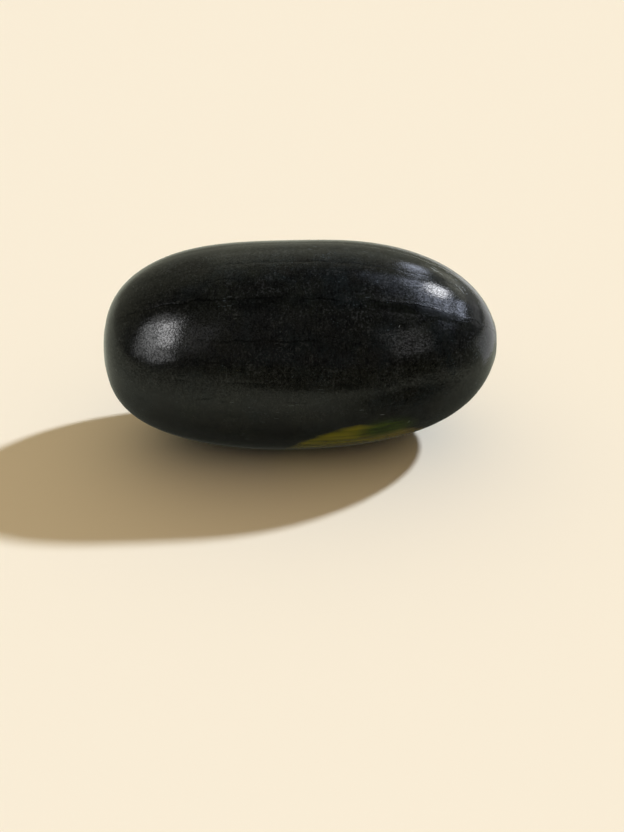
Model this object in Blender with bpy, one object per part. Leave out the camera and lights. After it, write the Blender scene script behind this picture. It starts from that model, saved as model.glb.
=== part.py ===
"""A whole black-skinned watermelon, lying on its side.

The fruit grew as one piece, so it is one closed solid. Its skin is a turned surface with a full, blunt
blossom end and a slimmer stem end. Shallow furrows run from end to end with low ribs between them. Each
end sinks into a dimple with the scar where the stem or the flower sat, and the underside is pressed into
a small flat spot, on which the fruit rests.

Units are metres. +X runs from the blossom end to the stem end, +Z is up, and the origin is on the ground
below the middle of the fruit.
"""

import math

import bpy
import numpy as np

# Size of the fruit
LENGTH = 0.354
DIAMETER = 0.1893
FLAT_SPOT_DEPTH = 0.0006

# How blunt the tip of each half is, and how far its sides stay full: an ellipse has 2 for both
BLOSSOM_TIP_FULLNESS = 2.71
BLOSSOM_SIDE_FULLNESS = 2.55
STEM_TIP_FULLNESS = 2.01
STEM_SIDE_FULLNESS = 2.66

# Ribs and furrows along the fruit, which turn a little round it: the twist is an angle per metre
FURROW_COUNT = 16
FURROW_START = math.radians(52.5)
FURROW_WANDER = math.radians(2.0)
FURROW_DEPTH = 0.0003
FURROW_DEPTH_SPREAD = 0.4
FURROW_TWIST = math.radians(-20.0)
FACES_PER_RIB = 4

# Wide, low swells of the grown skin: height, waves along the fruit (radians per metre), waves round it,
# and phase
SWELLS = (
    (0.00103, 13.0, 2.0, 5.08),
    (0.00087, 31.0, -3.0, 5.47),
    (0.00050, 22.0, 1.0, 1.43),
)

# The dimple at each end, with a low lip round it and a scar in the middle
DIMPLE_RADIUS = 0.017
DIMPLE_LIP_HEIGHT = 0.0005
STEM_DIMPLE_DEPTH = 0.0060
STEM_SCAR_RADIUS = 0.0060
STEM_SCAR_HEIGHT = 0.0014
BLOSSOM_DIMPLE_DEPTH = 0.0040
BLOSSOM_SCAR_RADIUS = 0.0045
BLOSSOM_SCAR_HEIGHT = 0.0005
SCAR_EDGE = 0.0012

# How finely the skin is divided
DIMPLE_RINGS = 9
BODY_RINGS = 40
PROFILE_STEPS = 4000

# Skin
SKIN_COLOUR = (0.010, 0.016, 0.009, 1.0)
SKIN_ROUGHNESS = 0.34
SHARP_ANGLE = math.radians(40.0)


def smooth_step(low, high, value):
    """0 below low, 1 above high, and an even S-curve between them."""
    t = np.clip((value - low) / (high - low), 0.0, 1.0)
    return t * t * (3.0 - 2.0 * t)


def profile():
    """The outline from end to end: places along the axis, and the radius at each."""
    turn = np.linspace(0.0, math.pi, PROFILE_STEPS)
    radius = np.sin(turn)
    blossom_half = turn < math.pi / 2.0
    tip = np.where(blossom_half, BLOSSOM_TIP_FULLNESS, STEM_TIP_FULLNESS)
    sides = np.where(blossom_half, BLOSSOM_SIDE_FULLNESS, STEM_SIDE_FULLNESS)
    along = np.where(blossom_half, -1.0, 1.0) * (1.0 - radius**tip) ** (1.0 / sides)
    return along * LENGTH / 2.0, radius * DIAMETER / 2.0


def ring_places():
    """The axis place and radius of each ring of points, with rings closer together in the dimples."""
    along, radius = profile()
    steps = np.hypot(np.diff(along), np.diff(radius))
    travelled = np.concatenate([[0.0], np.cumsum(steps)])
    end_band = DIMPLE_RADIUS * 1.3
    near_end = np.linspace(0.0, end_band, DIMPLE_RINGS + 1)[1:]
    middle = np.linspace(end_band, travelled[-1] - end_band, BODY_RINGS + 2)[1:-1]
    wanted = np.concatenate([near_end, middle, travelled[-1] - near_end[::-1]])
    return np.interp(wanted, travelled, along), np.interp(wanted, travelled, radius)


def furrows():
    """The angle of each furrow round the fruit, 0 facing -Y and 90 degrees at the top, and its depth."""
    rng = np.random.default_rng(7)
    even = FURROW_START + np.arange(FURROW_COUNT) * 2.0 * math.pi / FURROW_COUNT
    angles = even + rng.uniform(-FURROW_WANDER, FURROW_WANDER, FURROW_COUNT)
    depths = FURROW_DEPTH * (1.0 + rng.uniform(-FURROW_DEPTH_SPREAD, FURROW_DEPTH_SPREAD, FURROW_COUNT))
    return angles, depths


def meridians():
    """The angle of each line of points along the fruit, and how far the skin dips there."""
    angles, depths = furrows()
    next_angles = np.append(angles[1:], angles[0] + 2.0 * math.pi)
    next_depths = np.append(depths[1:], depths[0])
    across = np.arange(FACES_PER_RIB) / FACES_PER_RIB
    turn = angles[:, None] + (next_angles - angles)[:, None] * across
    depth = depths[:, None] + (next_depths - depths)[:, None] * across
    dip = depth * (1.0 - np.sin(math.pi * across))
    return turn.ravel(), dip.ravel()


def end_relief(radius, dimple_depth, scar_radius, scar_height):
    """How far the skin at an end stands out (or in, below 0), by distance from the axis."""
    inside = np.clip(radius / DIMPLE_RADIUS, 0.0, 1.0)
    hollow = dimple_depth * (0.5 + 0.5 * np.cos(math.pi * inside))
    lip = DIMPLE_LIP_HEIGHT * np.exp(-(((radius / DIMPLE_RADIUS) - 1.05) / 0.25) ** 2)
    scar = scar_height * (1.0 - smooth_step(scar_radius - SCAR_EDGE, scar_radius, radius))
    return lip - hollow + scar


def skin_points():
    """Every point of the skin, ring by ring, before the fruit is set down."""
    along, radius = ring_places()
    turn, dip = meridians()
    turn = turn[None, :] + FURROW_TWIST * along[:, None]
    swell = sum(
        height * np.sin(waves_along * along[:, None] + waves_round * turn + phase)
        for height, waves_along, waves_round, phase in SWELLS
    )
    share = radius[:, None] / (DIAMETER / 2.0)
    reach = radius[:, None] + share * (swell - dip)
    at_stem = end_relief(radius, STEM_DIMPLE_DEPTH, STEM_SCAR_RADIUS, STEM_SCAR_HEIGHT)
    at_blossom = end_relief(radius, BLOSSOM_DIMPLE_DEPTH, BLOSSOM_SCAR_RADIUS, BLOSSOM_SCAR_HEIGHT)
    place = along + np.where(along > 0.0, at_stem, -at_blossom)
    return np.stack(
        [
            np.broadcast_to(place[:, None], reach.shape),
            -reach * np.cos(turn),
            reach * np.sin(turn),
        ],
        axis=2,
    )


def pole_points():
    """The middle point of the scar at the blossom end, and at the stem end."""
    blossom = end_relief(0.0, BLOSSOM_DIMPLE_DEPTH, BLOSSOM_SCAR_RADIUS, BLOSSOM_SCAR_HEIGHT)
    stem = end_relief(0.0, STEM_DIMPLE_DEPTH, STEM_SCAR_RADIUS, STEM_SCAR_HEIGHT)
    return np.array([[-LENGTH / 2.0 - blossom, 0.0, 0.0], [LENGTH / 2.0 + stem, 0.0, 0.0]])


def set_down(points):
    """Centres the fruit over the origin, at its full length, and presses its underside flat at Z = 0."""
    low = points.min(axis=0)
    high = points.max(axis=0)
    points = points - (low + high) / 2.0
    points[:, 0] *= LENGTH / (high[0] - low[0])
    points[:, 2] -= points[:, 2].min() + FLAT_SPOT_DEPTH
    points[:, 2] = np.maximum(points[:, 2], 0.0)
    return points


def skin_faces(rings, around):
    """Four-sided faces between the rings, and a fan of triangles at each pole."""
    blossom_pole = rings * around
    stem_pole = blossom_pole + 1
    faces = []
    for step in range(around):
        after = (step + 1) % around
        for ring in range(rings - 1):
            here = ring * around
            there = here + around
            faces.append((here + step, there + step, there + after, here + after))
        last = (rings - 1) * around
        faces.append((blossom_pole, step, after))
        faces.append((stem_pole, last + after, last + step))
    return faces


def skin_material():
    """Deep green-black, slightly waxy skin."""
    material = bpy.data.materials.new("rind")
    material.use_nodes = True
    shader = material.node_tree.nodes["Principled BSDF"]
    shader.inputs["Base Color"].default_value = SKIN_COLOUR
    shader.inputs["Roughness"].default_value = SKIN_ROUGHNESS
    shader.inputs["Metallic"].default_value = 0.0
    return material


def build_watermelon():
    """The whole fruit as one object."""
    grid = skin_points()
    rings, around = grid.shape[:2]
    points = set_down(np.concatenate([grid.reshape(-1, 3), pole_points()]))
    mesh = bpy.data.meshes.new("watermelon")
    mesh.from_pydata(points.tolist(), [], skin_faces(rings, around))
    mesh.validate()
    mesh.shade_smooth()
    mesh.set_sharp_from_angle(angle=SHARP_ANGLE)
    mesh.materials.append(skin_material())
    fruit = bpy.data.objects.new("watermelon", mesh)
    bpy.context.scene.collection.objects.link(fruit)
    return fruit


def main():
    for old in list(bpy.data.objects):
        bpy.data.objects.remove(old, do_unlink=True)
    build_watermelon()


main()
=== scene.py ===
"""The looks of a whole black-skinned watermelon on a plain pale floor.

The skin is built again at a fine scale on the same form as the solid it stands for, with the ribs, the
furrows, the end dimples and their scars. Its procedural material has near-black green rind with bluish
bloom and pale flecks, a grey tint painted partway down the sides as reflected light, pale grains on the top
that are partly painted glints, dark hairlines along the furrows that are partly painted crease shade,
clusters of specks, single scratches, the yellow spot where the fruit lay, and cork in the scars. Softboxes
and cards, which show only as reflections, shape its gloss; the cards carry painted shadows and shade.
"""

import math

import bpy
import numpy as np
from mathutils import Matrix, Vector


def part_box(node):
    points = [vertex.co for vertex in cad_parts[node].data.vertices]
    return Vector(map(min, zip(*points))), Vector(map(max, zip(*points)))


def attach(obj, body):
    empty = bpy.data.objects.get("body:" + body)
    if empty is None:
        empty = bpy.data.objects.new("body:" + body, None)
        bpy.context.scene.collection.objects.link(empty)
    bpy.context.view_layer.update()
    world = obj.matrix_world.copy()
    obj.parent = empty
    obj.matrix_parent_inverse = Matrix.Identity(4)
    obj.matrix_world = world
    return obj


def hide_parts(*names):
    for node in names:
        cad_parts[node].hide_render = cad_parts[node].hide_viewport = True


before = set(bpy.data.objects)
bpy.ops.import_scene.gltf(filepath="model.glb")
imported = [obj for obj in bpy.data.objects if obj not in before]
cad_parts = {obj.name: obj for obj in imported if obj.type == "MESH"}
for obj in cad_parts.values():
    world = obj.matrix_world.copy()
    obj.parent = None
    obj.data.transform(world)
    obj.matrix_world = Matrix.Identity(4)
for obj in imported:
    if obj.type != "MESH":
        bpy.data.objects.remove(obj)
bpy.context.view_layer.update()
FRUIT_LOW, FRUIT_HIGH = (Vector(corner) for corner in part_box("watermelon"))

# Form of the fruit, as in the solid
LENGTH = FRUIT_HIGH.x - FRUIT_LOW.x
DIAMETER = 0.1893
AXIS_HEIGHT = 0.0945
FLAT_SPOT_DEPTH = 0.0006
BLOSSOM_TIP_FULLNESS = 2.71
BLOSSOM_SIDE_FULLNESS = 2.55
STEM_TIP_FULLNESS = 2.01
STEM_SIDE_FULLNESS = 2.66
FURROW_COUNT = 16
FURROW_START = math.radians(52.5)
FURROW_WANDER = math.radians(2.0)
FURROW_DEPTH = 0.0003
FURROW_DEPTH_SPREAD = 0.4
FURROW_TWIST = math.radians(-20.0)
SWELLS = (
    (0.00103, 13.0, 2.0, 5.08),
    (0.00087, 31.0, -3.0, 5.47),
    (0.00050, 22.0, 1.0, 1.43),
)
FURROW_SEED = 7
DIMPLE_RADIUS = 0.017
DIMPLE_LIP_HEIGHT = 0.0005
# Where the lip lies, how wide it is, and how far the closer rings reach, all in dimple radii
DIMPLE_LIP_PLACE = 1.05
DIMPLE_LIP_WIDTH = 0.25
DIMPLE_BAND = 1.3
STEM_DIMPLE_DEPTH = 0.0060
STEM_SCAR_RADIUS = 0.0060
STEM_SCAR_HEIGHT = 0.0014
BLOSSOM_DIMPLE_DEPTH = 0.0040
BLOSSOM_SCAR_RADIUS = 0.0045
BLOSSOM_SCAR_HEIGHT = 0.0005
SCAR_EDGE = 0.0012

# How finely the skin is divided
COLUMNS_PER_RIB = 24
DIMPLE_RINGS = 34
BODY_RINGS = 170
PROFILE_STEPS = 8000

# Hairlines that stand out, by furrow: how dark, and from where to where along the fruit. The other furrows
# draw theirs from the ranges below: how dark, where it starts, and how long it is
CLEAR_HAIRLINES = {0: (0.8, -0.155, 0.170), 15: (0.65, -0.085, 0.035)}
HAIRLINE_DARKNESS = (0.2, 0.7)
HAIRLINE_START = (-0.17, 0.08)
HAIRLINE_LENGTH = (0.05, 0.14)
HAIRLINE_SEED = 11
HAIRLINE_FADE = 0.03
# Near the stem end the hairlines bend down, by this share of a rib
HAIRLINE_BEND = 0.14
HAIRLINE_BEND_START = 0.085
HAIRLINE_BEND_END = 0.135
# How far noise moves them aside, and from where to where beside its middle a line fades
HAIRLINE_WAVER = 0.011
HAIRLINE_EDGE = (0.0001, 0.0014)

# The ground spot and the green patch at its upper edge: middle along and round the fruit, half length, half
# angle, and how pointed it is (2 for an ellipse)
YELLOW_SPOT = (0.046, math.radians(-62.0), 0.072, math.radians(41.0), 1.6)
GREEN_SPOT = (0.071, math.radians(-28.5), 0.030, math.radians(11.0), 2.0)

# Single scratches and ticks: place along the fruit, angle round it, length, slant in degrees, and strength
MARKS = [
    (0.117, 86.0, 0.0065, -22.0, 1.0),
    (0.120, 84.5, 0.0070, 15.0, 0.9),
    (0.124, 83.0, 0.0050, -30.0, 0.5),
    (0.137, 77.0, 0.0040, -40.0, 0.6),
    (0.140, 75.0, 0.0050, -46.0, 0.9),
    (0.142, 73.0, 0.0065, -58.0, 0.7),
    (0.119, 88.5, 0.0060, -20.0, 0.9),
    (0.131, 90.0, 0.0045, -15.0, 0.8),
    (0.134, 87.0, 0.0040, -25.0, 0.7),
    (0.138, 85.0, 0.0040, -30.0, 0.6),
    (0.143, 79.0, 0.0040, 40.0, 0.7),
    (0.1445, 77.0, 0.0040, -50.0, 0.8),
    (0.146, 73.0, 0.0030, 30.0, 0.6),
    (-0.057, 45.0, 0.0057, -5.0, 0.2),
    (-0.057, 43.0, 0.0038, -7.0, 0.16),
    (0.093, -26.0, 0.0046, 64.0, 0.5),
    (0.068, -14.0, 0.0049, -10.0, 0.35),
    (0.082, 38.0, 0.0030, 61.0, 0.5),
    (-0.163, 6.0, 0.0030, -51.0, 0.4),
]
MARK_HALF_WIDTH = 0.0004
MARK_HALF_DEPTH = 0.0032

# The grain on the top, whose pale grains are partly painted glints: from where to where it grows and fades,
# as angles round the fruit
GRAIN_START = (math.radians(68.0), math.radians(92.0))
GRAIN_END = (math.radians(130.0), math.radians(170.0))

# Clusters of pale specks: middle along and round the fruit, reach, and strength
CLUSTERS = [
    (-0.133, 61.0, 0.008, 0.7),
    (-0.119, 62.0, 0.006, 0.8),
    (-0.098, 47.0, 0.008, 0.7),
    (-0.070, 51.0, 0.007, 0.8),
    (-0.070, 59.0, 0.011, 0.5),
    (-0.038, 59.0, 0.010, 0.6),
    (-0.019, 72.0, 0.009, 0.9),
    (-0.004, 79.0, 0.012, 1.0),
    (0.019, 85.0, 0.012, 1.0),
    (0.040, 61.0, 0.012, 0.5),
    (0.140, 82.0, 0.011, 1.0),
]

# Colours of the skin and of what shows on it; a pair is for the dark and the light streaks of a place
RIND_DARK = (0.0026, 0.0031, 0.0025, 1.0)
RIND_OLIVE = (0.0072, 0.0088, 0.0058, 1.0)
RIND_BROWN = (0.0068, 0.0056, 0.0050, 1.0)
# A grey tint painted partway down the sides, standing in for reflected light
PAINTED_SIDE_SHEEN = (0.0068, 0.0068, 0.0064, 1.0)
RIND_BLUE = (0.0055, 0.0085, 0.0100, 1.0)
PIT_COLOUR = (0.0005, 0.0006, 0.0005, 1.0)
FLECK_COLOUR = (0.0290, 0.0320, 0.0340, 1.0)
# Pale grains on the top: partly the skin's grain, partly painted glints of reflected light
GRAIN_GLINT_COLOUR = (0.0460, 0.0500, 0.0430, 1.0)
# Hairlines: partly the skin's dark veins, partly painted shade in creases too fine for the mesh
HAIRLINE_AND_CREASE_SHADE_COLOUR = (0.0008, 0.0009, 0.0007, 1.0)
SPECK_COLOUR = (0.042, 0.056, 0.066, 1.0)
SCRATCH_COLOUR = (0.070, 0.085, 0.095, 1.0)
MARK_COLOUR = (0.24, 0.27, 0.28, 1.0)
SPOT_OLIVE = ((0.092, 0.089, 0.002, 1.0), (0.155, 0.141, 0.005, 1.0))
SPOT_TAN = ((0.094, 0.070, 0.005, 1.0), (0.126, 0.091, 0.009, 1.0))
PATCH_GREEN = ((0.017, 0.032, 0.001, 1.0), (0.034, 0.052, 0.002, 1.0))
CORK_BLOTCHES = ((0.060, 0.034, 0.015, 1.0), (0.300, 0.215, 0.115, 1.0))
CORK_RIM = (0.036, 0.022, 0.011, 1.0)

# Depths of the skin's fine relief
GRANULE_DEPTH = 0.00012
WRINKLE_DEPTH = 0.00010
CREASE_DEPTH = 0.00010
CREASE_LIP_DEPTH = 0.00010
CORK_DEPTH = 0.0008

# The wax on the skin: how much of it there is where the skin shines, and how rough it is
WAX = 0.09
WAX_ROUGHNESS = 0.38
SKIN_IOR = 1.45

# View of the fruit in the photograph, 624 by 832 pixels
IMAGE_SIZE = (624, 832)
FOCAL_PIXELS = 1340.0
FRUIT_PIXEL = (300.7, 344.35)
VIEW_ELEVATION = math.radians(29.0)
VIEW_TURN = math.radians(-1.49)
VIEW_DISTANCE = 1.2245
FILM_HEIGHT = 36.0

# The sides that light comes from: the bearing from the fruit (0 is +X, 90 is +Y) and the height above the
# horizon, in degrees
KEY_SIDE = (30.0, 39.0)
TOP_SIDE = (0.0, 90.0)
WINDOW_SIDE = (30.0, 40.0)
LEFT_SIDE = (-152.0, 27.6)
LEFT_HAZE_SIDE = (-112.0, 38.0)
FRONT_SIDE = (-52.0, 25.0)
BACK_SIDE = (78.0, 42.0)
RIGHT_SIDE = (30.0, 11.0)
LOW_SIDE = (-9.0, 31.0)
HIGH_SIDE = (-28.0, 56.0)

# Lights that don't show in the gloss: side, strength, colour, and width in degrees, which softens shadows
SUNS = {
    "key": (KEY_SIDE, 3.6, (0.745, 0.84, 1.0), 4.0),
    "fill": (TOP_SIDE, 1.0, (0.97, 0.72, 0.39), 120.0),
}

# Softboxes: side, middle (to the box's right, up, and towards the fruit), width and height, roll in
# degrees, brightness, and colour. They stand at one distance from the fruit; all lengths are in metres.
SOFTBOX_DISTANCE = 1.5
COOL = (0.74, 0.81, 1.0)
WHITE = (1.0, 1.0, 1.0)
WARM = (1.0, 1.0, 0.84)
SOFTBOXES = {
    "window": (WINDOW_SIDE, (-0.32, 0.15, 0.00), (1.02, 0.62), -8.0, 4.8, COOL),
    "window_haze": (WINDOW_SIDE, (-0.15, 0.62, 0.02), (0.90, 0.34), -8.0, 1.0, COOL),
    "window_sill": (WINDOW_SIDE, (0.42, -0.50, 0.00), (1.00, 0.34), -12.0, 0.75, WARM),
    "window_left_pane": (WINDOW_SIDE, (0.53, -0.04, 0.02), (0.36, 0.18), -40.0, 5.4, COOL),
    "window_right_pane": (WINDOW_SIDE, (-0.42, -0.33, 0.02), (0.52, 0.18), -4.0, 8.0, COOL),
    "window_core": (WINDOW_SIDE, (-0.05, 0.03, 0.05), (0.40, 0.26), -30.0, 17.0, WHITE),
    "left_panel": (LEFT_SIDE, (0.10, -0.15, 0.00), (0.48, 1.02), 34.0, 2.6, WHITE),
    "left_side_panel": (LEFT_SIDE, (-0.17, 0.00, 0.02), (0.40, 1.20), 4.0, 1.6, WHITE),
    "left_core": (LEFT_SIDE, (0.10, 0.15, 0.05), (0.24, 0.58), 34.0, 8.0, WHITE),
    "left_wing": (LEFT_SIDE, (0.60, 0.20, 0.04), (0.46, 0.66), 20.0, 0.38, WHITE),
    "left_haze": (LEFT_HAZE_SIDE, (0.00, 0.00, 0.00), (1.10, 1.30), 0.0, 0.06, WHITE),
    "back_panel": (BACK_SIDE, (0.00, 0.00, 0.00), (1.30, 0.72), 0.0, 0.20, WARM),
    "low_glow": (LOW_SIDE, (0.00, 0.00, 0.00), (0.66, 0.36), 24.0, 0.75, COOL),
    "high_glow": (HIGH_SIDE, (0.00, 0.00, 0.00), (0.56, 0.50), 30.0, 0.30, WHITE),
    "right_haze": (RIGHT_SIDE, (0.08, 0.05, 0.00), (1.20, 0.46), 0.0, 0.22, WHITE),
    "right_glow": (RIGHT_SIDE, (-0.16, -0.02, 0.02), (0.70, 0.26), 0.0, 0.28, WHITE),
    "front_panel": (FRONT_SIDE, (0.02, 0.02, 0.00), (0.60, 0.66), 0.0, 0.80, WHITE),
}

# The room's light, and its glow behind the fruit: on which side, and from where to where it grows
ROOM_COLOUR = (0.108, 0.110, 0.110, 1.0)
ROOM_GLOW = (0.32, 0.32, 0.250, 1.0)
ROOM_GLOW_SIDE = (-0.45, 1.0, 0.0)
ROOM_GLOW_EDGE = (0.2, 0.75)

# The floor, a little lower than the cards so that it hides none of them, and the backdrop, in the colour
# that the floor has in the light
FLOOR_HALF_WIDTH = 6.0
FLOOR_LEVEL = -0.0003
FLOOR_COLOUR = (0.955, 0.856, 0.684, 1.0)
FLOOR_ROUGHNESS = 0.9
BACKDROP_RADIUS = 5.9
BACKDROP_COLUMNS = 48
BACKDROP_RINGS = 12
BACKDROP_FOOT = -0.01
BACKDROP_COLOUR = (0.939, 0.840, 0.665, 1.0)

# The ground that the skin mirrors: its glow, a painted reflection, and the painted shadows on it: middle,
# half width and depth, and the reach and brightness at which each begins and ends
GROUND_LEVEL = -0.0001
GROUND_GLOW = (0.55, 0.565, 0.45, 1.0)
GROUND_PAINTED_SHADOWS = [
    ((0.0, 0.0), (0.18, 0.105), (0.7, 2.1, 0.10, 1.0)),
    ((0.17, -0.19), (0.13, 0.10), (0.3, 1.4, 0.15, 1.0)),
]
# How bright the ground is in front, by Y, and how much painted shade darkens it on the right, by X and Y
GROUND_FRONT = (-0.95, -0.22, 0.35, 1.0)
GROUND_RIGHT_X = (0.28, 0.42)
GROUND_RIGHT_Y = (-0.10, 0.04, 0.65, 0.0)

# The white card beside the fruit, by its lowest and highest X and Y, and the dark card that stands in front
# as painted shade in the skin's reflection
WHITE_CARD = (0.33, 2.5, 0.015, 2.5)
WHITE_CARD_LEVEL = -0.00005
WHITE_CARD_COLOUR = (0.95, 0.96, 0.95, 1.0)
DARK_CARD_Y = -0.36
DARK_CARD_TOP = 0.13
DARK_CARD_LEFT_FOOT = -0.05
DARK_CARD_LEFT_TOP = -0.25
DARK_CARD_RIGHT = 1.0
DARK_CARD_COLOUR = (0.13, 0.14, 0.11, 1.0)


def smooth_step(low, high, value):
    """0 below low, 1 above high, and an even S-curve between them."""
    t = np.clip((value - low) / (high - low), 0.0, 1.0)
    return t * t * (3.0 - 2.0 * t)


def profile():
    """The outline from end to end: places along the axis, and the radius at each."""
    turn = np.linspace(0.0, math.pi, PROFILE_STEPS)
    radius = np.sin(turn)
    blossom_half = turn < math.pi / 2.0
    tip = np.where(blossom_half, BLOSSOM_TIP_FULLNESS, STEM_TIP_FULLNESS)
    sides = np.where(blossom_half, BLOSSOM_SIDE_FULLNESS, STEM_SIDE_FULLNESS)
    along = np.where(blossom_half, -1.0, 1.0) * (1.0 - radius**tip) ** (1.0 / sides)
    return along * LENGTH / 2.0, radius * DIAMETER / 2.0


def ring_places():
    """The axis place, radius and distance travelled of each ring, closer together in the dimples."""
    along, radius = profile()
    steps = np.hypot(np.diff(along), np.diff(radius))
    travelled = np.concatenate([[0.0], np.cumsum(steps)])
    end_band = DIMPLE_RADIUS * DIMPLE_BAND
    near_end = np.linspace(0.0, end_band, DIMPLE_RINGS + 1)[1:]
    middle = np.linspace(end_band, travelled[-1] - end_band, BODY_RINGS + 2)[1:-1]
    wanted = np.concatenate([near_end, middle, travelled[-1] - near_end[::-1]])
    return np.interp(wanted, travelled, along), np.interp(wanted, travelled, radius), wanted


def furrows():
    """The angle of each furrow round the fruit, 0 facing -Y and 90 degrees at the top, and its depth."""
    rng = np.random.default_rng(FURROW_SEED)
    even = FURROW_START + np.arange(FURROW_COUNT) * 2.0 * math.pi / FURROW_COUNT
    angles = even + rng.uniform(-FURROW_WANDER, FURROW_WANDER, FURROW_COUNT)
    depths = FURROW_DEPTH * (1.0 + rng.uniform(-FURROW_DEPTH_SPREAD, FURROW_DEPTH_SPREAD, FURROW_COUNT))
    return angles, depths


def meridians():
    """For each line of points along the fruit: its angle, its dip, and its place across its rib."""
    angles, depths = furrows()
    next_angles = np.append(angles[1:], angles[0] + 2.0 * math.pi)
    next_depths = np.append(depths[1:], depths[0])
    across = np.arange(COLUMNS_PER_RIB) / COLUMNS_PER_RIB
    turn = angles[:, None] + (next_angles - angles)[:, None] * across
    depth = depths[:, None] + (next_depths - depths)[:, None] * across
    dip = depth * (1.0 - np.sin(math.pi * across))
    return turn.ravel(), dip.ravel(), np.tile(across, FURROW_COUNT)


def hairline_darkness(along):
    """How dark the hairline nearest to each point is, from 0 to 1: most show on a short stretch only."""
    rng = np.random.default_rng(HAIRLINE_SEED)
    dark = rng.uniform(*HAIRLINE_DARKNESS, FURROW_COUNT)
    start = rng.uniform(*HAIRLINE_START, FURROW_COUNT)
    end = start + rng.uniform(*HAIRLINE_LENGTH, FURROW_COUNT)
    for furrow, (clear, first, last) in CLEAR_HAIRLINES.items():
        dark[furrow], start[furrow], end[furrow] = clear, first, last
    columns = np.arange(FURROW_COUNT * COLUMNS_PER_RIB)
    nearest = (columns + COLUMNS_PER_RIB // 2) // COLUMNS_PER_RIB % FURROW_COUNT
    begun = smooth_step(start[nearest] - HAIRLINE_FADE, start[nearest], along[:, None])
    over = smooth_step(end[nearest], end[nearest] + HAIRLINE_FADE, along[:, None])
    return dark[nearest] * begun * (1.0 - over)


def end_relief(radius, dimple_depth, scar_radius, scar_height):
    """How far the skin at an end stands out (or in, below 0), by distance from the axis."""
    inside = np.clip(radius / DIMPLE_RADIUS, 0.0, 1.0)
    hollow = dimple_depth * (0.5 + 0.5 * np.cos(math.pi * inside))
    from_lip = (radius / DIMPLE_RADIUS - DIMPLE_LIP_PLACE) / DIMPLE_LIP_WIDTH
    lip = DIMPLE_LIP_HEIGHT * np.exp(-(from_lip**2))
    scar = scar_height * (1.0 - smooth_step(scar_radius - SCAR_EDGE, scar_radius, radius))
    return lip - hollow + scar


def spot_reach(along, turn, spot):
    """How far each point is from the middle of a spot, as a share of the way to the spot's edge."""
    middle, middle_turn, half_length, half_turn, power = spot
    lengthways = np.abs(along - middle) / half_length
    round_it = np.abs(np.angle(np.exp(1j * (turn - middle_turn)))) / half_turn
    return (lengthways**power + round_it**power) ** (1.0 / power)


def speckled(along, turn, radius):
    """How far each point lies inside a cluster of specks, from 0 to 1."""
    most = np.zeros(turn.shape)
    for middle, middle_turn, reach, strength in CLUSTERS:
        lengthways = along - middle
        round_it = np.angle(np.exp(1j * (turn - math.radians(middle_turn)))) * radius
        most = np.maximum(most, strength * np.exp(-(lengthways**2 + round_it**2) / reach**2))
    return most


def nearness_to_top(turn):
    """1 over the top of the fruit and a little beyond, fading to 0 on the sides."""
    wrapped = np.angle(np.exp(1j * turn))
    begun = smooth_step(*GRAIN_START, wrapped)
    return begun * (1.0 - smooth_step(*GRAIN_END, wrapped))


def skin_grid():
    """Every point of the skin, ring by ring, with what the material needs to know there."""
    along, radius, travelled = ring_places()
    turn, dip, across = meridians()
    turn = turn[None, :] + FURROW_TWIST * along[:, None]
    swell = sum(
        height * np.sin(waves_along * along[:, None] + waves_round * turn + phase)
        for height, waves_along, waves_round, phase in SWELLS
    )
    share = radius[:, None] / (DIAMETER / 2.0)
    reach = radius[:, None] + share * (swell - dip)
    at_stem = end_relief(radius, STEM_DIMPLE_DEPTH, STEM_SCAR_RADIUS, STEM_SCAR_HEIGHT)
    at_blossom = end_relief(radius, BLOSSOM_DIMPLE_DEPTH, BLOSSOM_SCAR_RADIUS, BLOSSOM_SCAR_HEIGHT)
    place = along + np.where(along > 0.0, at_stem, -at_blossom)
    points = np.stack(
        [
            np.broadcast_to(place[:, None], reach.shape),
            -reach * np.cos(turn),
            reach * np.sin(turn),
        ],
        axis=2,
    )
    bend = HAIRLINE_BEND * smooth_step(HAIRLINE_BEND_START, HAIRLINE_BEND_END, along)
    rib_turn = 2.0 * math.pi * (across[None, :] + bend[:, None])
    notes = {
        "rib_sine": np.sin(rib_turn) * radius[:, None] / FURROW_COUNT,
        "rib_cosine": np.cos(rib_turn),
        "hairline_dark": hairline_darkness(along),
        "from_axis": np.broadcast_to(radius[:, None], reach.shape),
        "end_side": np.broadcast_to(np.sign(along)[:, None], reach.shape),
        "yellow_spot": spot_reach(along[:, None], turn, YELLOW_SPOT),
        "green_spot": spot_reach(along[:, None], turn, GREEN_SPOT),
        "speckled": speckled(along[:, None], turn, radius[:, None]),
        "near_top": nearness_to_top(turn),
    }
    lengthwise = np.stack(
        [
            np.broadcast_to(travelled[:, None], reach.shape),
            np.cos(turn) * DIAMETER / 2.0,
            np.sin(turn) * DIAMETER / 2.0,
        ],
        axis=2,
    )
    return points, notes, lengthwise


def pole_points():
    """The middle point of the scar at the blossom end, and at the stem end."""
    blossom = end_relief(0.0, BLOSSOM_DIMPLE_DEPTH, BLOSSOM_SCAR_RADIUS, BLOSSOM_SCAR_HEIGHT)
    stem = end_relief(0.0, STEM_DIMPLE_DEPTH, STEM_SCAR_RADIUS, STEM_SCAR_HEIGHT)
    return np.array([[-LENGTH / 2.0 - blossom, 0.0, 0.0], [LENGTH / 2.0 + stem, 0.0, 0.0]])


def set_down(points):
    """Centres the fruit over the origin, at its full length, and presses its underside flat at Z = 0."""
    low = points.min(axis=0)
    high = points.max(axis=0)
    points = points - (low + high) / 2.0
    points[:, 0] *= LENGTH / (high[0] - low[0])
    points[:, 2] -= points[:, 2].min() + FLAT_SPOT_DEPTH
    points[:, 2] = np.maximum(points[:, 2], 0.0)
    return points


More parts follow.
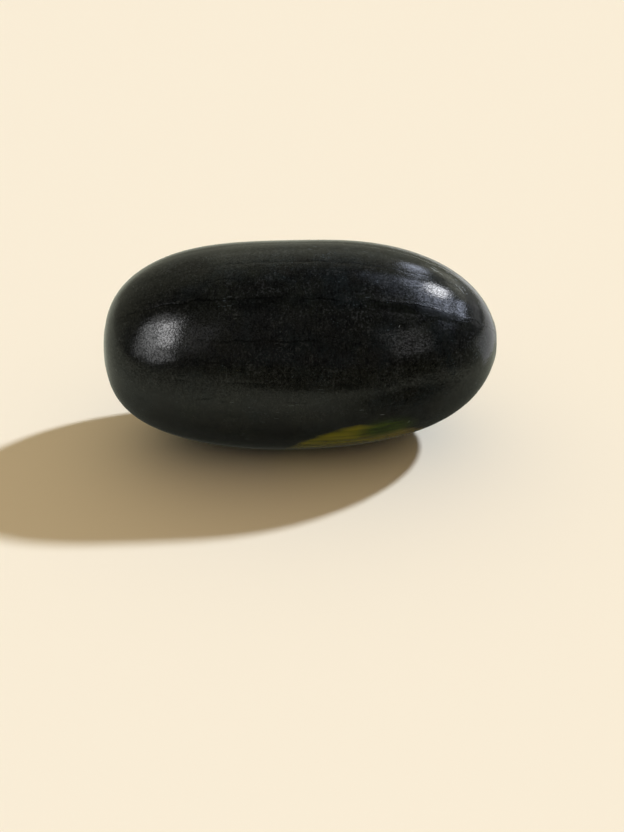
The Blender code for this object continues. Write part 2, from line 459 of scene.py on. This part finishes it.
def skin_faces(rings, around):
    """Four-sided faces between the rings, and a fan of triangles at each pole."""
    blossom_pole = rings * around
    stem_pole = blossom_pole + 1
    faces = []
    for step in range(around):
        after = (step + 1) % around
        for ring in range(rings - 1):
            here = ring * around
            there = here + around
            faces.append((here + step, there + step, there + after, here + after))
        last = (rings - 1) * around
        faces.append((blossom_pole, step, after))
        faces.append((stem_pole, last + after, last + step))
    return faces


def add_object(name, data):
    """A new object in the scene with a mesh, a light or a camera."""
    thing = bpy.data.objects.new(name, data)
    bpy.context.scene.collection.objects.link(thing)
    return thing


def build_skin():
    """The whole skin as one mesh object with its notes as attributes."""
    grid, notes, lengthwise = skin_grid()
    rings, around = grid.shape[:2]
    points = set_down(np.concatenate([grid.reshape(-1, 3), pole_points()]))
    mesh = bpy.data.meshes.new("rind")
    mesh.from_pydata(points.tolist(), [], skin_faces(rings, around))
    mesh.shade_smooth()
    for name, values in notes.items():
        layer = mesh.attributes.new(name, "FLOAT", "POINT")
        at_poles = [values[0, 0], values[-1, 0]]
        layer.data.foreach_set("value", np.concatenate([values.ravel(), at_poles]).astype(np.float32))
    layer = mesh.attributes.new("lengthwise", "FLOAT_VECTOR", "POINT")
    at_poles = [lengthwise[0].mean(axis=0), lengthwise[-1].mean(axis=0)]
    every = np.concatenate([lengthwise.reshape(-1, 3), at_poles])
    layer.data.foreach_set("vector", every.ravel().astype(np.float32))
    return add_object("rind", mesh)


class Nodes:
    """Short ways to add and join the nodes of one material or world."""

    def __init__(self, owner):
        owner.use_nodes = True
        self.tree = owner.node_tree
        self.tree.nodes.clear()

    def add(self, kind, settings=None, inputs=None):
        """A node of a kind, with its settings, and values or links for its inputs."""
        node = self.tree.nodes.new(kind)
        for name, value in (settings or {}).items():
            setattr(node, name, value)
        for name, value in (inputs or {}).items():
            self.feed(node.inputs[name], value)
        return node

    def feed(self, socket, value):
        """Links an output to a socket, or sets the socket's own value."""
        if isinstance(value, bpy.types.NodeSocket):
            self.tree.links.new(value, socket)
        else:
            socket.default_value = value

    def math(self, operation, first, second=0.0):
        """One sum, product or other operation on two numbers."""
        node = self.add("ShaderNodeMath", {"operation": operation})
        self.feed(node.inputs[0], first)
        self.feed(node.inputs[1], second)
        return node.outputs[0]

    def plus(self, first, *others):
        """The sum of numbers."""
        for other in others:
            first = self.math("ADD", first, other)
        return first

    def times(self, first, *others):
        """The product of numbers."""
        for other in others:
            first = self.math("MULTIPLY", first, other)
        return first

    def rest(self, value):
        """What a number leaves of 1."""
        return self.math("SUBTRACT", 1.0, value)

    def ramp(self, value, low, high, to_low=0.0, to_high=1.0):
        """A smooth change from one value to another as a number passes from low to high."""
        node = self.add(
            "ShaderNodeMapRange",
            {"interpolation_type": "SMOOTHSTEP", "clamp": True},
            {"Value": value, "From Min": low, "From Max": high, "To Min": to_low, "To Max": to_high},
        )
        return node.outputs["Result"]

    def fall(self, value, low, high, most=1.0):
        """A smooth fall to 0 as a number passes from low to high."""
        return self.ramp(value, low, high, most, 0.0)

    def mix(self, share, first, second):
        """A colour between two colours."""
        node = self.add("ShaderNodeMix", {"data_type": "RGBA"})
        self.feed(node.inputs["Factor"], share)
        self.feed(node.inputs[6], first)
        self.feed(node.inputs[7], second)
        return node.outputs[2]

    def stretched(self, vector, stretch, turn=(0.0, 0.0, 0.0)):
        """A vector scaled along each axis and then turned."""
        inputs = {"Vector": vector, "Rotation": turn, "Scale": stretch}
        return self.add("ShaderNodeMapping", {}, inputs).outputs[0]

    def reach(self, vector, middle, size, turn=(0.0, 0.0, 0.0)):
        """How far a vector is from the middle of an oval, as a share of the way to its edge."""
        inside = self.add(
            "ShaderNodeMapping",
            {"vector_type": "TEXTURE"},
            {"Vector": vector, "Location": middle, "Rotation": turn, "Scale": size},
        )
        length = self.add("ShaderNodeVectorMath", {"operation": "LENGTH"}, {"Vector": inside.outputs[0]})
        return length.outputs["Value"]

    def noise(self, vector, scale, detail=2.0, roughness=0.5, stretch=None):
        """Soft noise from 0 to 1, finer with a higher scale, and stretched along an axis if asked."""
        if stretch is not None:
            vector = self.stretched(vector, stretch)
        node = self.add(
            "ShaderNodeTexNoise",
            {},
            {"Vector": vector, "Scale": scale, "Detail": detail, "Roughness": roughness},
        )
        return node.outputs["Fac"]

    def cells(self, vector, scale):
        """The distance to the middle of the nearest of many small cells."""
        inputs = {"Vector": vector, "Scale": scale}
        return self.add("ShaderNodeTexVoronoi", {"feature": "F1"}, inputs).outputs["Distance"]

    def bump(self, height, depth, before=None):
        """Relief as deep as depth, in metres, on top of the relief before it."""
        inputs = {"Height": height, "Distance": depth, "Strength": 1.0}
        if before is not None:
            inputs["Normal"] = before
        return self.add("ShaderNodeBump", {}, inputs).outputs["Normal"]

    def note(self, name, output="Fac"):
        """What the mesh says about a place."""
        return self.add("ShaderNodeAttribute", {"attribute_name": name}).outputs[output]

    def glow(self, colour, strength=1.0):
        """Makes the material's surface glow."""
        light = self.add("ShaderNodeEmission", {}, {"Color": colour, "Strength": strength})
        self.add("ShaderNodeOutputMaterial", {}, {"Surface": light.outputs[0]})


class RindNodes(Nodes):
    """The rind's nodes, with the places, shares and noises that several of its layers use."""

    def __init__(self, owner):
        super().__init__(owner)
        self.place = self.add("ShaderNodeTexCoord").outputs["Object"]
        self.lengthwise = self.note("lengthwise", "Vector")
        self.along, _, self.height = self.add("ShaderNodeSeparateXYZ", {}, {"Vector": self.place}).outputs

        # The skin is coarser and more worn towards the stem end, and calmer low on its sides
        self.coarse = self.ramp(self.along, 0.02, 0.10)
        self.worn = self.plus(self.times(self.coarse, 0.7), 0.3)
        self.calm = self.ramp(self.height, 0.080, 0.115, 0.35, 1.0)

        self.broad = self.noise(self.place, 22.0, 3.0, 0.55)
        self.streaks = self.noise(self.lengthwise, 150.0, 3.0, 0.6, (0.12, 1.0, 1.0))
        self.wrinkles = self.noise(self.lengthwise, 220.0, 3.0, 0.6, (0.35, 1.0, 1.0))


def cloudy_colour(nodes):
    """Slow changes of colour over the skin: olive, brown, a grey tint painted partway down the sides as
    reflected light, and blue-grey bloom.
    """
    olive = nodes.ramp(nodes.plus(nodes.broad, nodes.times(nodes.streaks, 0.4)), 0.52, 0.95)
    brown = nodes.ramp(nodes.noise(nodes.lengthwise, 26.0, 4.0, 0.60, (0.6, 1.0, 1.0)), 0.50, 0.70)
    # A grey tint painted partway down the sides by height, standing in for reflected light
    painted_side_sheen = nodes.times(nodes.fall(nodes.height, 0.130, 0.165, 0.45), nodes.calm)
    bloom = nodes.ramp(nodes.noise(nodes.place, 30.0, 4.0, 0.62), 0.46, 0.66)
    colour = nodes.mix(olive, RIND_DARK, RIND_OLIVE)
    colour = nodes.mix(nodes.times(brown, 0.6), colour, RIND_BROWN)
    colour = nodes.mix(painted_side_sheen, colour, PAINTED_SIDE_SHEEN)
    return nodes.mix(nodes.times(bloom, 0.7), colour, RIND_BLUE)


def add_flecks(nodes, colour):
    """Small dark pits and pale flecks over a colour."""
    clouds = nodes.noise(nodes.place, 110.0, 4.0, 0.65)
    hatch = nodes.noise(nodes.lengthwise, 150.0, 3.0, 0.6, (3.5, 1.0, 1.0))
    mottle = nodes.noise(nodes.place, 470.0, 3.0, 0.65)
    patchy = nodes.plus(nodes.times(clouds, 0.5), nodes.times(hatch, 0.5))
    grainy = nodes.ramp(nodes.noise(nodes.place, 42.0, 3.0, 0.6), 0.42, 0.62, 0.30, 1.0)
    fleck = nodes.plus(nodes.times(mottle, 0.6), nodes.times(patchy, 0.4))
    flecks = nodes.times(nodes.ramp(fleck, 0.50, 0.64), grainy, nodes.calm)
    colour = nodes.mix(nodes.fall(patchy, 0.39, 0.51, 0.80), colour, PIT_COLOUR)
    return nodes.mix(flecks, colour, FLECK_COLOUR)


def top_grain(nodes):
    """Coarser grain on the top: how strongly its pale grains, partly painted glints of reflected light, and
    its dark grains show.
    """
    near_top = nodes.note("near_top")
    grains = nodes.noise(nodes.lengthwise, 560.0, 3.0, 0.65, (0.9, 0.5, 0.5))
    light = nodes.times(nodes.ramp(grains, 0.51, 0.66, 0.0, 0.40), near_top)
    dark = nodes.times(nodes.fall(grains, 0.34, 0.48, 0.45), near_top)
    return light, dark


def hairlines(nodes):
    """Dark lines that waver along the furrows and, fainter and broken, along the ribs; in the furrows their
    dark is partly painted shade of creases too fine for the mesh.

    Besides the lines, it gives the dull band below the clear ones and the raised lip above them.
    """
    waver = nodes.math("SUBTRACT", nodes.noise(nodes.place, 55.0, 5.0, 0.65), 0.5)
    aside = nodes.plus(nodes.note("rib_sine"), nodes.times(waver, HAIRLINE_WAVER))
    line = nodes.fall(nodes.math("ABSOLUTE", aside), *HAIRLINE_EDGE)
    in_furrow = nodes.ramp(nodes.note("rib_cosine"), -0.2, 0.2)
    dark = nodes.note("hairline_dark")
    kept = nodes.ramp(nodes.noise(nodes.lengthwise, 70.0, 3.0, 0.6, (0.5, 1.0, 1.0)), 0.38, 0.52)
    seldom = nodes.noise(nodes.lengthwise, 45.0, 3.0, 0.6, (0.5, 1.0, 1.0))
    seldom = nodes.ramp(seldom, 0.56, 0.66, 0.0, 0.6)
    along_furrows = nodes.times(line, kept, dark, in_furrow)
    along_ribs = nodes.times(line, seldom, nodes.rest(in_furrow))
    lines = nodes.math("MAXIMUM", along_furrows, along_ribs)

    clear = nodes.times(nodes.ramp(dark, 0.35, 0.75), in_furrow)
    below = nodes.times(nodes.ramp(aside, -0.0075, -0.0045), nodes.fall(aside, -0.0006, 0.0002))
    above = nodes.times(nodes.ramp(aside, 0.0002, 0.0010), nodes.fall(aside, 0.0010, 0.0026))
    dull = nodes.times(below, clear, nodes.worn, nodes.fall(nodes.along, 0.130, 0.150))
    lip = nodes.times(above, clear, nodes.coarse)
    return lines, dull, lip


def specks(nodes):
    """Where pale specks show, in loose clusters."""
    scattered = nodes.stretched(nodes.lengthwise, (0.55, 1.0, 1.0))
    clustered = nodes.plus(
        nodes.noise(nodes.place, 60.0, 2.0),
        nodes.times(nodes.coarse, 0.06),
        nodes.times(nodes.note("speckled"), 0.26),
    )
    size = nodes.ramp(clustered, 0.52, 0.85, 0.0, 0.26)
    return nodes.math("LESS_THAN", nodes.cells(scattered, 380.0), size)


def scratches(nodes):
    """Where fine pale scratches show, which slant across the skin in a few clusters."""
    slanting = nodes.stretched(nodes.place, (0.13, 0.5, 1.0), (0.0, 0.35, 0.0))
    size = nodes.ramp(nodes.noise(nodes.place, 45.0, 2.0), 0.55, 0.75, 0.0, 0.28)
    return nodes.math("LESS_THAN", nodes.cells(slanting, 600.0), size)


def mark_placing(along, turn, slant):
    """Where a mark lies on the skin, and how it is turned: X along the mark, Z out of the skin."""
    places, radii = profile()
    radius = float(np.interp(along, places, radii))
    slope = float(np.interp(along, places, np.gradient(radii, places)))
    turn = math.radians(turn)
    outward = Vector((0.0, -math.cos(turn), math.sin(turn)))
    lengthways = (Vector((1.0, 0.0, 0.0)) + outward * slope).normalized()
    round_it = Vector((0.0, math.sin(turn), math.cos(turn)))
    slant = math.radians(slant)
    run = lengthways * math.cos(slant) + round_it * math.sin(slant)
    normal = lengthways.cross(round_it)
    turned = Matrix((run, normal.cross(run), normal)).transposed()
    return Vector((along, 0.0, AXIS_HEIGHT)) + outward * radius, turned.to_euler()


def marks(nodes):
    """How strongly the single scratches and ticks show at each place."""
    every = None
    for along, turn, length, slant, strength in MARKS:
        middle, turned = mark_placing(along, turn, slant)
        size = (length / 2.0, MARK_HALF_WIDTH, MARK_HALF_DEPTH)
        mark = nodes.fall(nodes.reach(nodes.place, middle, size, turned), 0.6, 1.1, strength)
        every = mark if every is None else nodes.math("MAXIMUM", every, mark)
    return every


def add_ground_spot(nodes, colour):
    """The yellow spot where the fruit lay on the ground, streaked lengthwise, and its green patch."""
    wobble = nodes.noise(nodes.lengthwise, 70.0, 4.0, 0.6, (0.35, 1.0, 1.0))
    wobble = nodes.times(nodes.math("SUBTRACT", wobble, 0.5), 0.16)
    straw = nodes.noise(nodes.lengthwise, 240.0, 3.0, 0.6, (0.07, 1.0, 1.0))
    straw = nodes.ramp(straw, 0.35, 0.65)
    from_middle = nodes.note("yellow_spot")
    spot = nodes.fall(nodes.plus(from_middle, wobble), 0.93, 1.03)
    patch = nodes.fall(nodes.plus(nodes.note("green_spot"), wobble), 0.30, 1.15)
    inner = nodes.fall(from_middle, 0.15, 0.75)
    tanned = nodes.math("MAXIMUM", inner, nodes.ramp(nodes.along, 0.040, 0.085))
    pale = nodes.mix(tanned, nodes.mix(straw, *SPOT_OLIVE), nodes.mix(straw, *SPOT_TAN))
    colour = nodes.mix(spot, colour, pale)
    return nodes.mix(patch, colour, nodes.mix(straw, *PATCH_GREEN))


def corky_scars(nodes):
    """Where the scars at the ends are cork, and the cork's colour."""
    at_stem = nodes.ramp(nodes.note("end_side"), -0.5, 0.5)
    wider = nodes.times(at_stem, STEM_SCAR_RADIUS - BLOSSOM_SCAR_RADIUS)
    reach = nodes.math("SUBTRACT", nodes.note("from_axis"), wider)
    cork = nodes.fall(reach, BLOSSOM_SCAR_RADIUS * 0.8, BLOSSOM_SCAR_RADIUS * 1.1)
    blotch = nodes.ramp(nodes.noise(nodes.place, 480.0, 4.0, 0.75), 0.38, 0.62)
    rim = nodes.ramp(reach, BLOSSOM_SCAR_RADIUS * 0.45, BLOSSOM_SCAR_RADIUS, 0.0, 0.85)
    return cork, nodes.mix(rim, nodes.mix(blotch, *CORK_BLOTCHES), CORK_RIM)


def skin_relief(nodes, lines, lip, cork):
    """Granular skin, short wrinkles along the fruit, creases with their lips, and rough cork."""
    granular = nodes.noise(nodes.place, 450.0, 3.0, 0.65)
    rough_cork = nodes.times(nodes.noise(nodes.place, 900.0, 4.0, 0.7), cork)
    relief = nodes.bump(granular, GRANULE_DEPTH)
    relief = nodes.bump(nodes.wrinkles, WRINKLE_DEPTH, relief)
    relief = nodes.bump(nodes.rest(lines), CREASE_DEPTH, relief)
    relief = nodes.bump(lip, CREASE_LIP_DEPTH, relief)
    return nodes.bump(rough_cork, CORK_DEPTH, relief)


def skin_gloss(nodes, lines, dull, cork, dark_grains):
    """Roughness, and shine: waxy, broken by fine dull pores, and little in the hairlines and the cork."""
    fine_pores = nodes.fall(nodes.noise(nodes.place, 700.0, 2.0, 0.6), 0.42, 0.56, 0.75)
    wide_pores = nodes.noise(nodes.lengthwise, 480.0, 3.0, 0.65, (0.7, 1.0, 1.0))
    wide_pores = nodes.fall(wide_pores, 0.40, 0.54, 0.95)
    pores = nodes.math("MAXIMUM", nodes.times(fine_pores, nodes.calm), nodes.times(wide_pores, nodes.worn))
    rough = nodes.ramp(nodes.noise(nodes.place, 60.0, 4.0, 0.6), 0.3, 0.7, 0.05, 0.09)
    rough = nodes.plus(rough, nodes.times(pores, 0.06))
    rough = nodes.math("MAXIMUM", rough, nodes.times(cork, 0.8))
    clouds = nodes.plus(
        nodes.times(nodes.broad, 0.4),
        nodes.times(nodes.streaks, 0.3),
        nodes.times(nodes.wrinkles, 0.3),
    )
    clouded = nodes.times(nodes.fall(clouds, 0.45, 0.55, 0.24), nodes.ramp(nodes.height, 0.150, 0.175))
    losses = [
        nodes.times(pores, 0.95),
        nodes.times(lines, 0.85),
        nodes.times(dull, 0.95),
        nodes.times(cork, 0.7),
        clouded,
        dark_grains,
    ]
    return rough, nodes.times(*(nodes.rest(loss) for loss in losses))


def rind_material():
    """Near-black green skin with flecks, hairlines, specks, scratches, ground spot and corky scars."""
    material = bpy.data.materials.new("rind")
    nodes = RindNodes(material)
    grain_glints, dark_grains = top_grain(nodes)
    lines, dull, lip = hairlines(nodes)
    cork, cork_colour = corky_scars(nodes)
    colour = add_flecks(nodes, cloudy_colour(nodes))
    # Pale grains on the top, partly painted glints of reflected light
    colour = nodes.mix(grain_glints, colour, GRAIN_GLINT_COLOUR)
    # Dark hairlines, partly painted shade in the creases
    colour = nodes.mix(nodes.times(lines, 0.9), colour, HAIRLINE_AND_CREASE_SHADE_COLOUR)
    colour = nodes.mix(nodes.times(specks(nodes), 0.7), colour, SPECK_COLOUR)
    colour = nodes.mix(nodes.times(scratches(nodes), 0.4), colour, SCRATCH_COLOUR)
    colour = nodes.mix(marks(nodes), colour, MARK_COLOUR)
    colour = add_ground_spot(nodes, colour)
    colour = nodes.mix(cork, colour, cork_colour)
    rough, shine = skin_gloss(nodes, lines, dull, cork, dark_grains)
    shader = nodes.add(
        "ShaderNodeBsdfPrincipled",
        {},
        {
            "Base Color": colour,
            "Roughness": rough,
            "IOR": SKIN_IOR,
            "Specular Tint": shine,
            "Coat Weight": nodes.times(shine, WAX),
            "Coat Roughness": WAX_ROUGHNESS,
            "Normal": skin_relief(nodes, lines, lip, cork),
        },
    )
    nodes.add("ShaderNodeOutputMaterial", {}, {"Surface": shader.outputs["BSDF"]})
    return material


def matt_material(name, colour, roughness=1.0):
    """A plain material without gloss."""
    material = bpy.data.materials.new(name)
    material.use_nodes = True
    shader = material.node_tree.nodes["Principled BSDF"]
    shader.inputs["Base Color"].default_value = colour
    shader.inputs["Roughness"].default_value = roughness
    shader.inputs["Specular IOR Level"].default_value = 0.0
    return material


def add_stage(name, corners, faces, material):
    """A piece of the stage, which isn't part of the object."""
    mesh = bpy.data.meshes.new(name)
    mesh.from_pydata(corners, [], faces)
    mesh.materials.append(material)
    piece = add_object(name, mesh)
    return piece


def level_corners(low_x, high_x, low_y, high_y, level):
    """The corners of a level rectangle that faces up."""
    return [(low_x, low_y, level), (high_x, low_y, level), (high_x, high_y, level), (low_x, high_y, level)]


def floor_corners(level):
    """The corners of a level square as wide as the floor."""
    return level_corners(-FLOOR_HALF_WIDTH, FLOOR_HALF_WIDTH, -FLOOR_HALF_WIDTH, FLOOR_HALF_WIDTH, level)


def add_floor():
    """A plain cream floor that runs past the edges of the picture."""
    material = matt_material("floor", FLOOR_COLOUR, FLOOR_ROUGHNESS)
    add_stage("floor", floor_corners(FLOOR_LEVEL), [(0, 1, 2, 3)], material)


def add_backdrop():
    """A plain dome over the floor in the floor's colour, which only the camera sees."""
    around = BACKDROP_COLUMNS
    corners = []
    for ring in range(BACKDROP_RINGS + 1):
        climb = math.pi / 2.0 * ring / (BACKDROP_RINGS + 0.5)
        radius = BACKDROP_RADIUS * math.cos(climb)
        height = BACKDROP_RADIUS * math.sin(climb) + BACKDROP_FOOT
        for step in range(around):
            turn = 2.0 * math.pi * step / around
            corners.append((radius * math.cos(turn), radius * math.sin(turn), height))
    faces = []
    for ring in range(BACKDROP_RINGS):
        for step in range(around):
            here = ring * around + step
            after = ring * around + (step + 1) % around
            faces.append((here, after, after + around, here + around))
    faces.append(tuple(BACKDROP_RINGS * around + step for step in range(around)))
    material = bpy.data.materials.new("backdrop")
    Nodes(material).glow(BACKDROP_COLOUR)
    backdrop = add_stage("backdrop", corners, faces, material)
    backdrop.visible_diffuse = False
    backdrop.visible_glossy = False
    backdrop.visible_transmission = False
    backdrop.visible_shadow = False


def towards(bearing, height):
    """The direction with a bearing and a height above the horizon, in degrees."""
    level = math.cos(math.radians(height))
    return Vector(
        (
            level * math.cos(math.radians(bearing)),
            level * math.sin(math.radians(bearing)),
            math.sin(math.radians(height)),
        )
    )


def add_sun(name, side, strength, colour, width):
    """Even light from a side, which doesn't show in the gloss."""
    light = bpy.data.lights.new(name, "SUN")
    light.energy = strength
    light.color = colour
    light.angle = math.radians(width)
    lamp = add_object(name, light)
    lamp.rotation_euler = towards(*side).to_track_quat("Z", "Y").to_euler()
    lamp.visible_glossy = False


def add_softbox(name, side, middle, size, roll, brightness, colour):
    """A flat glowing panel that faces the fruit and shows only as a reflection in its skin."""
    light = bpy.data.lights.new(name, "AREA")
    light.shape = "RECTANGLE"
    light.size, light.size_y = size
    light.energy = math.pi * size[0] * size[1] * brightness
    light.color = colour
    lamp = add_object(name, light)
    facing = towards(*side).to_track_quat("Z", "Y").to_matrix()
    lamp.rotation_euler = (facing @ Matrix.Rotation(math.radians(roll), 3, "Z")).to_euler()
    across, up, nearer = middle
    aside = facing @ Vector((across, up, SOFTBOX_DISTANCE - nearer))
    lamp.location = Vector((0.0, 0.0, AXIS_HEIGHT)) + aside
    lamp.visible_diffuse = False


def add_lights():
    """A key light from the right and behind, a fill from above, and softboxes that shape the gloss."""
    for name, sun in SUNS.items():
        add_sun(name, *sun)
    for name, softbox in SOFTBOXES.items():
        add_softbox(name, *softbox)


def add_card(name, corners, material):
    """A card that shows only as a reflection in the skin."""
    card = add_stage(name, corners, [(0, 1, 2, 3)], material)
    card.visible_camera = False
    card.visible_diffuse = False
    card.visible_shadow = False


def ground_material():
    """A painted reflection: a glow like that of a pale surface in the shade, with a painted shadow at the
    fruit's foot, painted shade on the right, and dimmer far in front.
    """
    material = bpy.data.materials.new("ground_card")
    nodes = Nodes(material)
    place = nodes.add("ShaderNodeTexCoord").outputs["Object"]
    place_x, place_y, _ = nodes.add("ShaderNodeSeparateXYZ", {}, {"Vector": place}).outputs
    lit = nodes.ramp(place_y, *GROUND_FRONT)
    for middle, size, fade in GROUND_PAINTED_SHADOWS:
        reach = nodes.reach(place, (*middle, 0.0), (*size, 1.0))
        lit = nodes.times(lit, nodes.ramp(reach, *fade))
    right = nodes.times(nodes.ramp(place_x, *GROUND_RIGHT_X), nodes.ramp(place_y, *GROUND_RIGHT_Y))
    nodes.glow(GROUND_GLOW, nodes.times(lit, nodes.rest(right)))
    return material


def add_cards():
    """The cards that the skin mirrors from below: pale ground with painted shadows, a white one beside, and
    a dark one in front as painted shade.
    """
    add_card("ground_card", floor_corners(GROUND_LEVEL), ground_material())
    white = matt_material("white_card", WHITE_CARD_COLOUR)
    add_card("white_card", level_corners(*WHITE_CARD, WHITE_CARD_LEVEL), white)
    standing = [
        (DARK_CARD_LEFT_FOOT, DARK_CARD_Y, 0.0),
        (DARK_CARD_RIGHT, DARK_CARD_Y, 0.0),
        (DARK_CARD_RIGHT, DARK_CARD_Y, DARK_CARD_TOP),
        (DARK_CARD_LEFT_TOP, DARK_CARD_Y, DARK_CARD_TOP),
    ]
    add_card("dark_card", standing, matt_material("dark_card", DARK_CARD_COLOUR))


def add_world():
    """Dim room light, brighter and warmer behind the fruit."""
    world = bpy.data.worlds.new("room")
    bpy.context.scene.world = world
    nodes = Nodes(world)
    direction = nodes.add("ShaderNodeTexCoord").outputs["Generated"]
    backwards = nodes.add("ShaderNodeVectorMath", {"operation": "DOT_PRODUCT"})
    nodes.feed(backwards.inputs[0], direction)
    nodes.feed(backwards.inputs[1], ROOM_GLOW_SIDE)
    behind = nodes.ramp(backwards.outputs["Value"], *ROOM_GLOW_EDGE)
    colour = nodes.mix(behind, ROOM_COLOUR, ROOM_GLOW)
    background = nodes.add("ShaderNodeBackground", {}, {"Color": colour, "Strength": 1.0})
    nodes.add("ShaderNodeOutputWorld", {}, {"Surface": background.outputs[0]})


def add_camera():
    """The camera at the photograph's viewing angle, with the fruit's middle at its pixel."""
    across = (FRUIT_PIXEL[0] - IMAGE_SIZE[0] / 2.0) / FOCAL_PIXELS
    above = (IMAGE_SIZE[1] / 2.0 - FRUIT_PIXEL[1]) / FOCAL_PIXELS
    ray = Vector((across, above, -1.0))
    tilt = math.asin(math.sin(VIEW_ELEVATION) * ray.length / math.hypot(above, 1.0)) + math.atan(above)
    level = Matrix.Rotation(math.pi / 2.0 - tilt, 3, "X") @ ray
    heading = math.atan2(level.x, level.y)
    camera = add_object("camera", bpy.data.cameras.new("camera"))
    camera.data.sensor_fit = "VERTICAL"
    camera.data.sensor_height = FILM_HEIGHT
    camera.data.lens = FOCAL_PIXELS / IMAGE_SIZE[1] * FILM_HEIGHT
    back = Vector((0.0, -math.cos(VIEW_ELEVATION), math.sin(VIEW_ELEVATION))) * VIEW_DISTANCE
    turned = Matrix.Rotation(VIEW_TURN, 3, "Z") @ back
    camera.location = Vector((0.0, 0.0, AXIS_HEIGHT)) + turned
    camera.rotation_euler = (math.pi / 2.0 - tilt, 0.0, VIEW_TURN + heading)
    bpy.context.scene.camera = camera


rind = build_skin()
rind.data.materials.append(rind_material())
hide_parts("watermelon")
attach(rind, "root")
add_floor()
add_backdrop()
add_lights()
add_cards()
add_world()
add_camera()
bpy.context.scene.view_settings.view_transform = "Standard"
